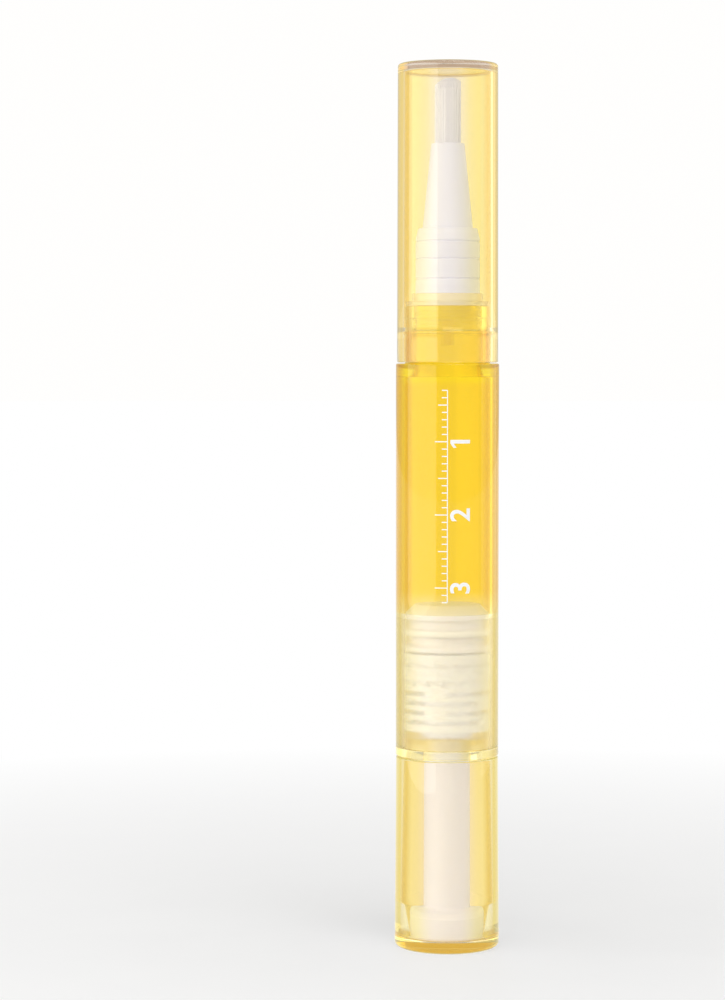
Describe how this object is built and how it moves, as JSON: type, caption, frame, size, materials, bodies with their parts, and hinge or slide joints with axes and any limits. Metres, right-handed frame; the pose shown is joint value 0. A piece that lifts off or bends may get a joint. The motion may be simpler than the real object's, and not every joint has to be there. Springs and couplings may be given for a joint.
{
  "type": "nail oil pen",
  "caption": "Clear capped twist pen for nail oil: turning the knob drives a screw and piston that push the oil up to a brush.",
  "frame": {"origin": "centre of the flat base of the knob", "axes": "+Z along the pen's axis, from the knob up to the closed end of the cap"},
  "size_m": [0.0142, 0.0142, 0.12],
  "materials": {
    "clear_knob": "clear, polished",
    "white_tube": "smooth moulded",
    "clear_ring": "clear, polished",
    "frosted_white": "frosted, translucent",
    "screw_white": "smooth moulded",
    "piston_white": "frosted, translucent",
    "seal_rubber": "soft, satin",
    "oil": "clear liquid",
    "clear_barrel": "clear, polished",
    "clear_plug": "clear, slightly cloudy",
    "holder_white": "smooth moulded",
    "nylon": "fine nylon filament",
    "clear_cap": "clear, polished"
  },
  "bodies": {
    "barrel": {"barrel": "clear_barrel", "collar_ring": "clear_ring", "thread_nut": "frosted_white", "oil_fill": "oil", "neck_plug": "clear_plug", "feed_tube": "screw_white", "brush_holder": "holder_white", "brush_tuft": "nylon"},
    "knob": {"knob": "clear_knob", "drive_tube": "white_tube", "click_sleeve": "frosted_white"},
    "piston": {"piston": "piston_white", "piston_ring": "seal_rubber"},
    "lead_screw": {"lead_screw": "screw_white"},
    "cap": {"cap": "clear_cap"}
  },
  "joints": [
    {"name": "knob_turn", "type": "hinge", "parent": "barrel", "child": "knob", "pos_m": [0, 0, 0.0262], "axis": [0, 0, 1], "range_deg": [0, 3600], "deforming": ["click_sleeve"]},
    {"name": "piston_slide", "type": "slide", "parent": "barrel", "child": "piston", "axis": [0, 0, 1], "range_m": [0, 0.032], "deforming": ["oil_fill"]},
    {"name": "screw_turn", "type": "hinge", "parent": "piston", "child": "lead_screw", "pos_m": [0, 0, 0.0412], "axis": [0, 0, 1], "range_deg": [0, 3600]},
    {"name": "cap_pull", "type": "slide", "parent": "barrel", "child": "cap", "axis": [0, 0, 1], "range_m": [0, 0.045]}
  ],
  "couplings": [
    {"joint": "piston_slide", "follows": "knob_turn", "m_per_rad": 0.0005093},
    {"joint": "screw_turn", "follows": "knob_turn", "ratio": 1}
  ]
}
